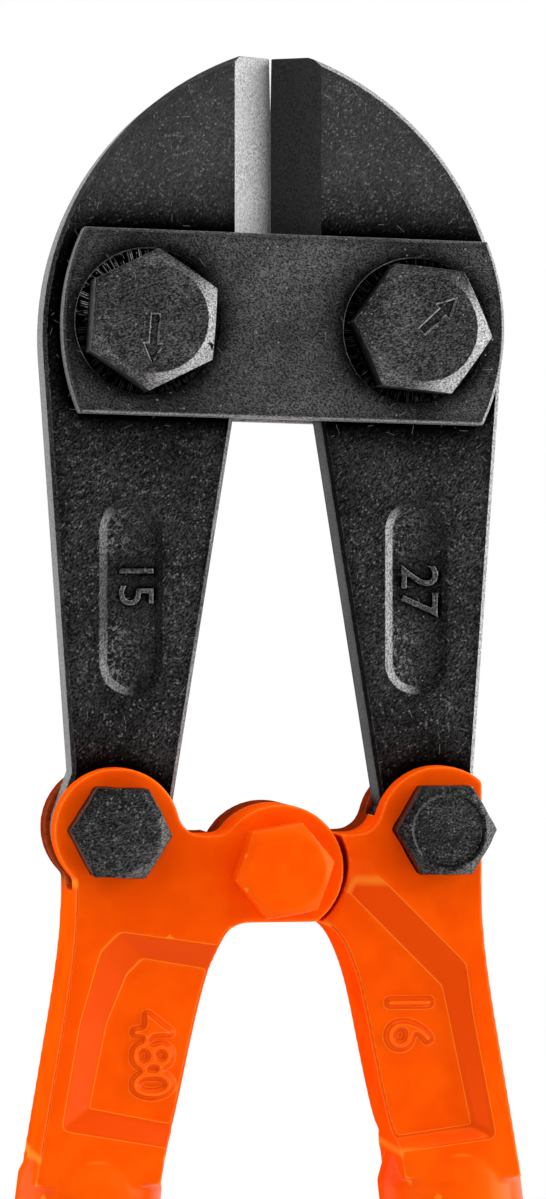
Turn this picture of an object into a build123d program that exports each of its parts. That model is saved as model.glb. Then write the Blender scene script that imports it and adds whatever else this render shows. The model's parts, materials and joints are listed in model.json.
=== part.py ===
"""Bolt cutters of the 300 mm class, closed, standing upright with the jaws up.

The tool is drawn in front view round its centre pivot: x to the right, z towards the jaws,
y = 0 in the middle of the blades' thickness and +y away from the bolt heads. Every piece is
then moved so that the row's origin lies on the front side plate's lower edge, where the tool
hangs on a peg. Pieces that come in pairs are built on the right and mirrored for the left.
"""

import os
from math import atan2, cos, degrees, radians, sin, sqrt, tan

from build123d import *

# Linkage, as distances from the centre pivot
LINK_X = 24.1  # link pivots, where each handle is pinned to a blade's tail
LINK_Z = 5.73
JOURNAL_X = 19.94  # blade journals, on the eccentric bolts
JOURNAL_Z = 79.8
TIP_Z = 120.0

# Blades
BLADE_THICKNESS = 8.0
HEAD_REACH = 34.5  # how far the head reaches sideways at its widest
HEAD_DROP = 1.5  # the head is widest this far below the journals
TIP_FLAT = 5.2  # how far the flat top of each tip reaches sideways
TAIL_RADIUS = 8.5
TAIL_RISE = 1.5  # the arm's inner edge meets the tail this far above the link pivot
EDGE_SPACE = 0.02  # half the space between the closed cutting edges
EDGE_TIP_SPACE = 0.2  # the same at the very tip, where the edges part
EDGE_TIP_RUN = 8.0  # the edges part over this length below the tip
EDGE_FOOT = 31.0  # height of the cutting edge
EDGE_LAND = 0.3  # blunt width left on the cutting edge
LEFT_BEVEL = 6.0  # width of the ground band beside the cutting edge
RIGHT_BEVEL = 7.0
LEFT_WINDOW_HALF = 6.2  # inner edge of each arm, just under the plates
RIGHT_WINDOW_HALF = 7.0
LEFT_TAIL_INSET = 0.0  # the arm's inner edge meets the tail this far inside the tail's round
RIGHT_TAIL_INSET = 0.8
WINDOW_TOP_DROP = 13.5  # how far below the journals the arms' inner edges turn
ARM_OUTER_SLOPE = 4.0  # degrees
POCKET_LENGTH = 29.0
POCKET_WIDTH = 9.5
POCKET_DEPTH = 0.9
POCKET_WALL = 1.3  # width of the pocket's sloped wall
POCKET_X = 21.4
POCKET_Z = 40.0
BLADE_CHAMFER = 0.6

# Side plates
PLATE_THICKNESS = 4.0
PLATE_MARGIN = 13.06  # from each bolt to the plate's end, before the shift
PLATE_SHIFT = 0.48  # the plate reaches this much further past the right bolt
PLATE_HEIGHT = 27.2
PLATE_END_RADIUS = 33.3
PLATE_CHAMFER = 0.4
SIDE_GAP = 0.1  # running gap on each side of a blade

# Eccentric bolts
ECCENTRICITY = 0.67
ECCENTRIC_ANGLE = 46.8  # the left head stands this far above the horizontal from its journal
SEAT_RADIUS = 6.0  # thread and rear seat
JOURNAL_RADIUS = 7.2
COLLAR_RADIUS = 8.4
PLATE_HEX = 18.0  # across flats
PLATE_HEAD_HEIGHT = 7.4
PLATE_HEAD_FLAT = 7.8  # radius of the round flat on top of the head
PLATE_NUT_HEIGHT = 7.0
LEFT_HEAD_TURN = 26.0
RIGHT_HEAD_TURN = 54.0
PLATE_NUT_TURN = 20.0
PLATE_BOLT_POINT = 1.0  # chamfer at the threaded end
LEFT_ARROW_TURN = 266.0
RIGHT_ARROW_TURN = 43.0
ARROW_LENGTH = 7.2
ARROW_SHAFT = 1.3
ARROW_HEAD = 2.9
ARROW_SHIFT = 2.9  # each arrow's middle lies this far out from its head's centre
ARROW_DEPTH = 0.35

# Serrated lock rings, set into the front plate under the eccentric bolts' heads
RING_RADIUS = 10.7
RING_THICKNESS = 1.4
RING_TEETH = 48
TOOTH_INNER_RADIUS = 8.9
TOOTH_DEPTH = 0.7
TOOTH_GAP_WIDTH = 0.62

# Link bolts and centre pivot bolt
LINK_RADIUS = 4.0
LINK_HEX = 13.0
LINK_HEAD_HEIGHT = 5.3
LINK_HEAD_FLAT = 5.7
LINK_NUT_HEIGHT = 6.5
LINK_HEAD_DISH = 0.35
LINK_DISH_RIM = 0.4
LINK_BOLT_POINT = 0.8  # chamfer at the threaded end
LINK_NUT_TURN = 10.0
LEFT_LINK_TURN = 57.5
RIGHT_LINK_TURN = 0.0
PIVOT_TURN = 10.0
PIVOT_NUT_TURN = 40.0
SPRING_WASHER_RADIUS = 7.2
SPRING_WASHER_THICKNESS = 2.0
SPRING_WASHER_SPLIT = 1.0
SPRING_SPLIT_LEAN = 20.0
PIVOT_WASHER_RADIUS = 8.2
PIVOT_WASHER_THICKNESS = 1.6
THREAD_STICKOUT = 1.5  # bolt end beyond its nut
NUT_CHAMFER = 0.9

# Forged handle fittings
EAR_THICKNESS = 5.0
EAR_RADIUS = 9.3
HUB_RADIUS = 9.5
HUB_CUT = 7.8  # the hubs are cut flat this far below the pivot
SADDLE_Z = 5.0  # top of the neck between hub and ear
SADDLE_FILLET = 3.8
LAP_GAP = 0.1  # each half-lapped hub stops this far from the mid-plane
HUB_RELIEF = 0.8  # space round a hub in the other handle's fitting
OPEN_PIVOT_PLAY = 1.2  # radial play of the centre pivot bolt in the right handle's hub
SLOT_RELIEF = 0.4  # space round a blade's tail between the ears
CROTCH_HALF = 4.5  # half the flat top of the space between the fittings
SHOULDER_X = 9.4  # inner edge of the left shank, just below the hub
SHOULDER_DROP = 12.2
WAIST_X = 12.9  # inner edge of the left shank, half way down
WAIST_DROP = 25.0
ANKLE_X = 16.2  # inner edge of the left shank, three quarters down
ANKLE_DROP = 39.3
OUTER_X = 30.3  # outer edge of the shank, just below the ear
OUTER_DROP = 2.0
HIP_X = 32.25  # outer edge of the shank, half way down
HIP_DROP = 22.2
RIGHT_SLIMMING = 1.0  # the right shank's inner edge lies this much further out
SHANK_FOOT_INSET = 1.4  # the shank's foot stays this far inside the collar on each side
PANEL_DEPTH = 2.4
PANEL_WALL = 4.4  # widths of the left panel's sloped walls: outer, upper and lower
PANEL_TOP_WALL = 4.2
PANEL_FOOT_WALL = 3.0
PANEL_MARGIN = 2.5  # from the shank's outer edge to the left panel's mouth, half way down
PANEL_TOP_DROP = 8.8  # top of the left panel, at its outer end
PANEL_TOP_FALL = 3.2  # it falls this much to the panel's inner end
PANEL_CORNER = 2.6  # cut corner at the left panel's upper outer end
PANEL_FOOT_X = 32.4  # lower outer corner of both panels
PANEL_FOOT_DROP = 37.8
PANEL_FOOT_FALL = 5.4  # the lower edge falls this much to the panel's inner end
PANEL_LEAN = 3.0  # the left panel's outer wall leans out this far from corner to hip
DIAGONAL_WALL = 3.2  # widths of the right panel's sloped walls: outer, diagonal and lower
DIAGONAL_TOP_WALL = 5.0
DIAGONAL_FOOT_WALL = 1.6
DIAGONAL_MARGIN = 3.3
DIAGONAL_FOOT_DROP = 40.0
DIAGONAL_FOOT_FALL = 3.6
DIAGONAL_X = 12.7  # where the right panel's diagonal edge starts, just under the ear
DIAGONAL_RISE = 1.2
DIAGONAL_RUN = 15.2  # the diagonal runs down and outwards at 45 degrees

# Tubes and grips, measured down the handle's own axis from the fitting's collar
HANDLE_TOP_X = 27.0
HANDLE_DROP = 46.0  # the collar's top lies this far below the pivot
HANDLE_TILT = 7.0
HANDLE_LENGTH = 145.0
COLLAR_OUTER = 10.7
COLLAR_LENGTH = 19.0
COLLAR_TAPER = 4.0
TUBE_RADIUS = 9.0
TUBE_WALL = 1.8
TUBE_TOP = 3.0
GRIP_TOP = 34.0
GRIP_RADIUS = 12.3
GRIP_FLANGE = 1.6
GRIP_FLANGE_LENGTH = 5.0
GRIP_END_WALL = 4.0
GRIP_END_CHAMFER = 2.0
RIVET_RADIUS = 2.5
RIVET_HEAD_RADIUS = 4.0
RIVET_HEAD_HEIGHT = 1.3
RIVET_HEAD_EDGE = 0.3
RIVET_RISE = 8.0  # above the collar's foot

# Fits
PIN_FIT = 0.05  # radial clearance of pins, journals and threads in their holes
TUBE_FIT = 0.05
RING_FIT = 0.05
CUTTER_MARGIN = 1.0  # cutters reach this far past what they cut
HEX_EASE = 0.1  # the turned crown of a hexagon clears its corners by this much

PLATE_LENGTH = 2 * (JOURNAL_X + PLATE_MARGIN)
RIVET_PLACE = COLLAR_LENGTH - RIVET_RISE

# Levels through the thickness
BLADE_FACE = BLADE_THICKNESS / 2
PLATE_INNER = BLADE_FACE + SIDE_GAP
PLATE_OUTER = PLATE_INNER + PLATE_THICKNESS
EAR_INNER = BLADE_FACE + SIDE_GAP
EAR_OUTER = EAR_INNER + EAR_THICKNESS

# The plates lie along the line through both bolt heads' axes
HEAD_SHIFT = ECCENTRICITY * cos(radians(ECCENTRIC_ANGLE))
HEAD_RISE = ECCENTRICITY * sin(radians(ECCENTRIC_ANGLE))
LEFT_HEAD = (HEAD_SHIFT - JOURNAL_X, JOURNAL_Z + HEAD_RISE)
RIGHT_HEAD = (HEAD_SHIFT + JOURNAL_X, JOURNAL_Z - HEAD_RISE)
PLATE_TILT = degrees(atan2(HEAD_RISE, JOURNAL_X))
PLATE_CENTRE = (
    HEAD_SHIFT + PLATE_SHIFT * cos(radians(PLATE_TILT)),
    JOURNAL_Z - PLATE_SHIFT * sin(radians(PLATE_TILT)),
)

# The origin: middle of the front plate's lower edge
HANG_X = PLATE_CENTRE[0] - PLATE_HEIGHT / 2 * sin(radians(PLATE_TILT))
HANG_Z = PLATE_CENTRE[1] - PLATE_HEIGHT / 2 * cos(radians(PLATE_TILT))
HANG_Y = -(PLATE_INNER + PLATE_OUTER) / 2
TO_ROW_FRAME = Pos(-HANG_X, -HANG_Y, -HANG_Z)


def slab(outline, front, back):
    """A front-view outline given thickness from y = front to y = back."""
    return extrude(Plane.XZ.offset(-back) * outline, back - front)


def face_of(*points):
    """A face inside straight lines from point to point."""
    return make_face(Polyline(*points, close=True))


def turned(*profile):
    """A solid turned about the y axis from (radius, y) points."""
    return revolve(face_of(*profile), Axis.Y, 360)


def rod(radius, front, back):
    """A cylinder about the y axis."""
    return slab(Circle(radius), front, back)


def placed(solid, place):
    """A solid built about the y axis, moved to its (x, z) place."""
    return Pos(place[0], 0, place[1]) * solid


def mirrored(solid):
    """The left-hand twin of a right-hand solid."""
    return mirror(solid, about=Plane.YZ)


def polar(radius, angle):
    """Front-view point at an angle in degrees from +x towards +z."""
    return (radius * cos(radians(angle)), radius * sin(radians(angle)))


def hexagon(across_flats, turn):
    """A hexagon with one corner at the angle called turn."""
    corner = across_flats / 2 / cos(radians(30))
    return face_of(*[polar(corner, turn + 60 * k) for k in range(6)])


def hex_head(across_flats, top, foot, flat_radius, turn):
    """A chamfered hexagon head from y = top, its outer end, to y = foot."""
    corner = across_flats / 2 / cos(radians(30)) + HEX_EASE
    drop = (corner - flat_radius) * tan(radians(30))
    crown = turned((0, top), (flat_radius, top), (corner, top + drop), (corner, foot), (0, foot))
    return slab(hexagon(across_flats, turn), top, foot) & crown


def hex_nut(across_flats, front, height, bore, turn):
    """A nut chamfered at both ends, with its front face at y = front."""
    corner = across_flats / 2 / cos(radians(30)) + HEX_EASE
    rim = corner - NUT_CHAMFER
    step = NUT_CHAMFER * tan(radians(30))
    back = front + height
    blank = turned(
        (bore, front),
        (rim, front),
        (corner, front + step),
        (corner, back - step),
        (rim, back),
        (bore, back),
    )
    return slab(hexagon(across_flats, turn), front, back) & blank


def washer(outer, inner, front, thickness):
    """A flat ring about the y axis."""
    return slab(Circle(outer) - Circle(inner), front, front + thickness)


# ---------------------------------------------------------------- blades


def blade_outline(window_half, tail_inset, flat_tail):
    """Front view of the right-hand blade: head, arm and tail."""
    # The head's outer edge is one arc, widest a little below the journals
    centre_z = JOURNAL_Z - HEAD_DROP
    rise = TIP_Z - centre_z
    run = HEAD_REACH - TIP_FLAT
    head_radius = (run**2 + rise**2) / (2 * run)
    centre_x = HEAD_REACH - head_radius
    tip_angle = degrees(atan2(rise, TIP_FLAT - centre_x))
    middle = polar(head_radius, tip_angle / 2)
    foot = polar(head_radius, -ARM_OUTER_SLOPE)
    tip_outer = (TIP_FLAT, TIP_Z)
    head_middle = (centre_x + middle[0], centre_z + middle[1])
    head_foot = (centre_x + foot[0], centre_z + foot[1])
    arm_outer_z = LINK_Z + TAIL_RADIUS
    arm_outer_x = head_foot[0] - (head_foot[1] - arm_outer_z) * tan(radians(ARM_OUTER_SLOPE))
    # Below the arm the outer edge runs on to the tail's round, or to its flat
    touch = polar(TAIL_RADIUS, 2 * degrees(atan2(TAIL_RADIUS, arm_outer_x - LINK_X)) - 90)
    tail_reach = arm_outer_x - LINK_X if flat_tail else TAIL_RADIUS
    tail_outer = (LINK_X + min(touch[0], tail_reach), LINK_Z + touch[1])
    heel_z = JOURNAL_Z - WINDOW_TOP_DROP
    edge_z = TIP_Z - EDGE_FOOT
    arc = ThreePointArc(tip_outer, head_middle, head_foot)
    rest = Polyline(
        head_foot,
        (arm_outer_x, arm_outer_z),
        tail_outer,
        (LINK_X, LINK_Z),
        (LINK_X - TAIL_RADIUS + tail_inset, LINK_Z + TAIL_RISE),
        (window_half, heel_z),
        (window_half / 2, JOURNAL_Z),
        (EDGE_SPACE, edge_z),
        (EDGE_SPACE, TIP_Z - EDGE_TIP_RUN),
        (EDGE_TIP_SPACE, TIP_Z),
        tip_outer,
    )
    arm = make_face([arc.edge(), *rest.edges()])
    return arm + Pos(LINK_X, LINK_Z) * flat_round(TAIL_RADIUS, tail_reach)


def flat_round(radius, reach):
    """A circle that ends flat at x = reach, where that is less than its radius."""
    if reach >= radius:
        return Circle(radius)
    return Circle(radius) & Pos(reach - radius, 0) * Rectangle(2 * radius, 2 * radius)


def bevel_cut(width, side):
    """The wedge ground off one face beside the cutting edge; side is -1 in front, 1 behind."""
    wedge = face_of(
        (EDGE_SPACE, side * EDGE_LAND / 2),
        (width, side * BLADE_FACE),
        (width, side * (BLADE_FACE + CUTTER_MARGIN)),
        (EDGE_SPACE - CUTTER_MARGIN, side * (BLADE_FACE + CUTTER_MARGIN)),
        (EDGE_SPACE - CUTTER_MARGIN, side * EDGE_LAND / 2),
    )
    return extrude(Plane.XY.offset(TIP_Z - EDGE_FOOT) * wedge, EDGE_FOOT + CUTTER_MARGIN, dir=(0, 0, 1))


def pocket_cut(side):
    """The forged pocket in an arm's face, with sloped walls."""
    inwards = Plane(
        origin=(POCKET_X, side * BLADE_FACE, POCKET_Z), x_dir=(0, 0, 1), z_dir=(0, -side, 0)
    )
    mouth = inwards * SlotOverall(POCKET_LENGTH, POCKET_WIDTH)
    return extrude(mouth, POCKET_DEPTH, taper=degrees(atan2(POCKET_WALL, POCKET_DEPTH)))


def blade(bevel_width, window_half, tail_inset, flat_tail):
    """The right-hand blade."""
    body = slab(blade_outline(window_half, tail_inset, flat_tail), -BLADE_FACE, BLADE_FACE)
    rim = body.edges().filter_by(Plane.XZ)
    rim = rim.filter_by(lambda edge: edge.center().X > EDGE_SPACE + 0.5)
    rim = rim.filter_by(lambda edge: abs(edge.center().Z - TIP_Z) > 0.5)
    body = chamfer(rim, BLADE_CHAMFER)
    for side in (-1, 1):
        body -= bevel_cut(bevel_width, side)
        body -= pocket_cut(side)
    body -= placed(rod(JOURNAL_RADIUS + PIN_FIT, -BLADE_FACE, BLADE_FACE), (JOURNAL_X, JOURNAL_Z))
    body -= placed(rod(LINK_RADIUS + PIN_FIT, -BLADE_FACE, BLADE_FACE), (LINK_X, LINK_Z))
    return body


# ---------------------------------------------------------------- side plates and their bolts


def plate_outline():
    """Front view of a side plate about its own centre, level, with bowed ends."""
    half_length = PLATE_LENGTH / 2
    half_height = PLATE_HEIGHT / 2
    corner = half_length - PLATE_END_RADIUS + sqrt(PLATE_END_RADIUS**2 - half_height**2)
    top = Line((-corner, half_height), (corner, half_height))
    right = ThreePointArc((corner, half_height), (half_length, 0), (corner, -half_height))
    bottom = Line((corner, -half_height), (-corner, -half_height))
    left = ThreePointArc((-corner, -half_height), (-half_length, 0), (-corner, half_height))
    return make_face([top.edge(), right.edge(), bottom.edge(), left.edge()])


def side_plate(front, back):
    """A side plate from y = front to y = back, in place and tilted."""
    plate = slab(plate_outline(), front, back)
    plate = chamfer(plate.edges().filter_by(Plane.XZ), PLATE_CHAMFER)
    return placed(Rot(0, PLATE_TILT, 0) * plate, PLATE_CENTRE)


def front_plate():
    plate = side_plate(-PLATE_OUTER, -PLATE_INNER)
    for head in (LEFT_HEAD, RIGHT_HEAD):
        plate -= placed(rod(COLLAR_RADIUS + PIN_FIT, -PLATE_OUTER, -PLATE_INNER), head)
        recess = rod(RING_RADIUS + RING_FIT, -PLATE_OUTER, RING_THICKNESS - PLATE_OUTER)
        plate -= placed(recess, head)
    return plate


def rear_plate():
    plate = side_plate(PLATE_INNER, PLATE_OUTER)
    for head in (LEFT_HEAD, RIGHT_HEAD):
        plate -= placed(rod(SEAT_RADIUS + PIN_FIT, PLATE_INNER, PLATE_OUTER), head)
    return plate


def serrated_ring():
    """A lock ring about the y axis, with radial teeth round its front face."""
    front = -PLATE_OUTER
    ring = washer(RING_RADIUS, COLLAR_RADIUS + PIN_FIT, front, RING_THICKNESS)
    reach = RING_RADIUS - TOOTH_INNER_RADIUS + CUTTER_MARGIN
    groove = Box(reach, 2 * TOOTH_DEPTH, TOOTH_GAP_WIDTH, align=(Align.MIN, Align.CENTER, Align.CENTER))
    groove = Pos(TOOTH_INNER_RADIUS, front, 0) * groove
    return ring - [Rot(0, 360 / RING_TEETH * k, 0) * groove for k in range(RING_TEETH)]


def arrow(turn):
    """The engraved arrow of a bolt head, pointing along the angle called turn."""
    half = ARROW_LENGTH / 2
    neck = half - ARROW_HEAD
    outline = face_of(
        (-half, -ARROW_SHAFT / 2),
        (neck, -ARROW_SHAFT / 2),
        (neck, -ARROW_HEAD / 2),
        (half, 0),
        (neck, ARROW_HEAD / 2),
        (neck, ARROW_SHAFT / 2),
        (-half, ARROW_SHAFT / 2),
    )
    top = -(PLATE_OUTER + PLATE_HEAD_HEIGHT)
    return slab(Rot(0, 0, turn) * Pos(ARROW_SHIFT, 0) * outline, top, top + ARROW_DEPTH)


def eccentric_bolt(head_place, journal_place, head_turn, arrow_turn):
    """A plate bolt: head, collar, offset journal for the blade, rear seat and thread."""
    top = -(PLATE_OUTER + PLATE_HEAD_HEIGHT)
    head = hex_head(PLATE_HEX, top, -PLATE_OUTER, PLATE_HEAD_FLAT, head_turn) - arrow(arrow_turn)
    collar = rod(COLLAR_RADIUS, -PLATE_OUTER, -PLATE_INNER)
    end = PLATE_OUTER + PLATE_NUT_HEIGHT + THREAD_STICKOUT
    seat = turned(
        (0, PLATE_INNER),
        (SEAT_RADIUS, PLATE_INNER),
        (SEAT_RADIUS, end - PLATE_BOLT_POINT),
        (SEAT_RADIUS - PLATE_BOLT_POINT, end),
        (0, end),
    )
    journal = placed(rod(JOURNAL_RADIUS, -PLATE_INNER, PLATE_INNER), journal_place)
    return placed(head + collar + seat, head_place) + journal


# ---------------------------------------------------------------- link and pivot bolts


def hex_bolt(turn, end, dish):
    """A bolt through the handle fittings about the y axis, with its head in front."""
    top = -(EAR_OUTER + LINK_HEAD_HEIGHT)
    head = hex_head(LINK_HEX, top, -EAR_OUTER, LINK_HEAD_FLAT, turn)
    if dish:
        head -= rod(LINK_HEAD_FLAT - LINK_DISH_RIM, top, top + dish)
    shank = turned(
        (0, -EAR_OUTER),
        (LINK_RADIUS, -EAR_OUTER),
        (LINK_RADIUS, end - LINK_BOLT_POINT),
        (LINK_RADIUS - LINK_BOLT_POINT, end),
        (0, end),
    )
    return head + shank


def spring_washer():
    """A split lock washer about the y axis, behind the rear ear."""
    ring = washer(SPRING_WASHER_RADIUS, LINK_RADIUS + PIN_FIT, EAR_OUTER, SPRING_WASHER_THICKNESS)
    split = Box(SPRING_WASHER_RADIUS, 4 * SPRING_WASHER_THICKNESS, SPRING_WASHER_SPLIT)
    split = Rot(0, 0, SPRING_SPLIT_LEAN) * split
    return ring - Pos(SPRING_WASHER_RADIUS / 2 + CUTTER_MARGIN, EAR_OUTER, 0) * split


# ---------------------------------------------------------------- handle fittings


def fitting_outline(slimming, flat_ear):
    """Front view of the right-hand fitting: hub, saddle, ear and shank."""
    inner_foot = (HANDLE_TOP_X - COLLAR_OUTER + SHANK_FOOT_INSET + slimming, -HANDLE_DROP)
    outer_foot = (HANDLE_TOP_X + COLLAR_OUTER - SHANK_FOOT_INSET, -HANDLE_DROP)
    crotch = (CROTCH_HALF, -HUB_CUT)
    outer_top = (OUTER_X, -OUTER_DROP)
    inner = Spline(
        crotch,
        (SHOULDER_X + slimming, -SHOULDER_DROP),
        (WAIST_X + slimming, -WAIST_DROP),
        (ANKLE_X + slimming, -ANKLE_DROP),
        inner_foot,
        tangents=((1, 0), (0.15, -1)),
    )
    outer = Spline(outer_foot, (HIP_X, -HIP_DROP), outer_top, tangents=((-0.17, 1), (0.02, 1)))
    foot = Line(inner_foot, outer_foot)
    sides = Polyline(
        outer_top, (OUTER_X, LINK_Z), (LINK_X, SADDLE_Z), (0, SADDLE_Z), (0, -HUB_CUT), crotch
    )
    shank = make_face([inner.edge(), foot.edge(), outer.edge(), *sides.edges()])
    hub = Circle(HUB_RADIUS) & Pos(0, HUB_RADIUS - HUB_CUT) * Rectangle(3 * HUB_RADIUS, 2 * HUB_RADIUS)
    ear_reach = OUTER_X - LINK_X if flat_ear else EAR_RADIUS
    outline = shank + hub + Pos(LINK_X, LINK_Z) * flat_round(EAR_RADIUS, ear_reach)
    saddle = outline.vertices().filter_by(lambda v: abs(v.Y - SADDLE_Z) < 0.05)
    return fillet(saddle, SADDLE_FILLET)


def handle_round(radius, start, end, taper_to=None):
    """A round stretch of the right handle's axis, from start to end below the collar's top."""
    tilt = radians(HANDLE_TILT)
    axis = Plane(origin=(HANDLE_TOP_X, 0, -HANDLE_DROP), x_dir=(0, 1, 0), z_dir=(sin(tilt), 0, -cos(tilt)))
    if taper_to is None:
        return extrude(axis.offset(start) * Circle(radius), end - start)
    return loft([axis.offset(start) * Circle(radius), axis.offset(end) * Circle(taper_to)])


def panel_outline(diagonal, wall=0.0, top_wall=0.0, foot_wall=0.0):
    """Corners of the panel sunk into a fitting's face, its mouth drawn in by the walls' widths.

    The diagonal panel runs up to the hub; the other one stops below it. Both run out past
    the shank's inner edge.
    """
    inner_x = CROTCH_HALF / 2
    if diagonal:
        hip_x = HIP_X - DIAGONAL_MARGIN - wall
        foot = foot_wall - DIAGONAL_FOOT_DROP
        fall = DIAGONAL_FOOT_FALL
        top = DIAGONAL_RISE - top_wall
        reach = DIAGONAL_X + DIAGONAL_RISE - top_wall * sqrt(2)
        corner_x = DIAGONAL_X + DIAGONAL_RUN - wall
        upper = [(inner_x, top), (reach - top, top), (corner_x, reach - corner_x)]
    else:
        hip_x = HIP_X - PANEL_MARGIN - wall
        foot = foot_wall - PANEL_FOOT_DROP
        fall = PANEL_FOOT_FALL
        top = -PANEL_TOP_DROP - top_wall
        corner_x = hip_x - PANEL_LEAN
        upper = [
            (inner_x, top - PANEL_TOP_FALL),
            (corner_x - PANEL_CORNER, top),
            (corner_x, top - PANEL_CORNER),
        ]
    lower = [(PANEL_FOOT_X - wall, foot), (inner_x, foot - fall)]
    return face_of(*upper, (hip_x, -HIP_DROP), *lower)


def panel_cut(diagonal, side):
    """The sunk panel as a solid to cut from the face at y = side * EAR_OUTER."""
    walls = (PANEL_WALL, PANEL_TOP_WALL, PANEL_FOOT_WALL)
    if diagonal:
        walls = (DIAGONAL_WALL, DIAGONAL_TOP_WALL, DIAGONAL_FOOT_WALL)
    mouth = Plane.XZ.offset(-side * EAR_OUTER) * panel_outline(diagonal)
    floor = Plane.XZ.offset(-side * (EAR_OUTER - PANEL_DEPTH)) * panel_outline(diagonal, *walls)
    return loft([mouth, floor], ruled=True)


def fitting(hub_side, diagonal, slimming, flat_ear):
    """The right-hand forged fitting; hub_side is -1 where its hub is the front half lap."""
    body = slab(fitting_outline(slimming, flat_ear), -EAR_OUTER, EAR_OUTER)
    for side in (-1, 1):
        body -= panel_cut(diagonal, side)
    body += handle_round(EAR_OUTER, -COLLAR_TAPER, 0, COLLAR_OUTER)
    body += handle_round(COLLAR_OUTER, 0, COLLAR_LENGTH)
    body -= handle_round(TUBE_RADIUS + TUBE_FIT, TUBE_TOP, COLLAR_LENGTH)
    # Slot for the blade's tail, open upwards and outwards
    slot_inner = LINK_X - TAIL_RADIUS - SLOT_RELIEF
    slot_floor = LINK_Z - TAIL_RADIUS - SLOT_RELIEF
    slot = face_of(
        (slot_inner, slot_floor),
        (LINK_X + 3 * EAR_RADIUS, slot_floor),
        (LINK_X + 3 * EAR_RADIUS, LINK_Z + 3 * EAR_RADIUS),
        (slot_inner, LINK_Z + 3 * EAR_RADIUS),
    )
    body -= slab(slot, -EAR_INNER, EAR_INNER)
    # Half lap: this hub keeps one side of the mid-plane, the other handle's hub has the rest
    relief = rod(HUB_RADIUS + HUB_RELIEF, -LAP_GAP, EAR_OUTER)
    hub_bore = LINK_RADIUS + PIN_FIT
    if hub_side > 0:
        relief = mirror(relief, about=Plane.XZ)
        hub_bore = LINK_RADIUS + OPEN_PIVOT_PLAY
    body -= relief
    body -= rod(hub_bore, -EAR_OUTER, EAR_OUTER)
    body -= placed(rod(LINK_RADIUS + PIN_FIT, -EAR_OUTER, EAR_OUTER), (LINK_X, LINK_Z))
    body -= rivet_place(rod(RIVET_RADIUS + PIN_FIT, -2 * COLLAR_OUTER, 2 * COLLAR_OUTER))
    return body


# ---------------------------------------------------------------- tubes, grips and rivets


def rivet_place(solid):
    """A solid about the y axis, moved to the rivet's place on the right handle."""
    tilt = radians(HANDLE_TILT)
    x = HANDLE_TOP_X + RIVET_PLACE * sin(tilt)
    z = -HANDLE_DROP - RIVET_PLACE * cos(tilt)
    return placed(solid, (x, z))


def tube():
    body = handle_round(TUBE_RADIUS, TUBE_TOP, HANDLE_LENGTH - GRIP_END_WALL)
    body -= handle_round(TUBE_RADIUS - TUBE_WALL, TUBE_TOP, HANDLE_LENGTH - GRIP_END_WALL)
    return body - rivet_place(rod(RIVET_RADIUS + PIN_FIT, -2 * TUBE_RADIUS, 2 * TUBE_RADIUS))


def grip():
    flange = GRIP_RADIUS + GRIP_FLANGE
    flange_foot = GRIP_TOP + GRIP_FLANGE_LENGTH
    rounding = HANDLE_LENGTH - GRIP_END_CHAMFER
    body = handle_round(GRIP_RADIUS, GRIP_TOP, rounding)
    body += handle_round(GRIP_RADIUS, rounding, HANDLE_LENGTH, GRIP_RADIUS - GRIP_END_CHAMFER)
    body += handle_round(flange, GRIP_TOP, flange_foot - GRIP_FLANGE)
    body += handle_round(flange, flange_foot - GRIP_FLANGE, flange_foot, GRIP_RADIUS)
    return body - handle_round(TUBE_RADIUS + TUBE_FIT, GRIP_TOP, HANDLE_LENGTH - GRIP_END_WALL)


def rivet():
    """A round-headed pin through collar and tube."""
    head = COLLAR_OUTER + RIVET_HEAD_HEIGHT
    seat = sqrt(COLLAR_OUTER**2 - RIVET_RADIUS**2)
    pin = turned(
        (0, -head),
        (RIVET_RADIUS, -head),
        (RIVET_HEAD_RADIUS, -seat - RIVET_HEAD_EDGE),
        (RIVET_HEAD_RADIUS, 0),
        (RIVET_HEAD_RADIUS, seat + RIVET_HEAD_EDGE),
        (RIVET_RADIUS, head),
        (0, head),
    )
    core = handle_round(COLLAR_OUTER, 0, COLLAR_LENGTH)
    return rivet_place(pin) - core + rivet_place(rod(RIVET_RADIUS, -COLLAR_OUTER, COLLAR_OUTER))


# ---------------------------------------------------------------- all pieces by name


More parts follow.
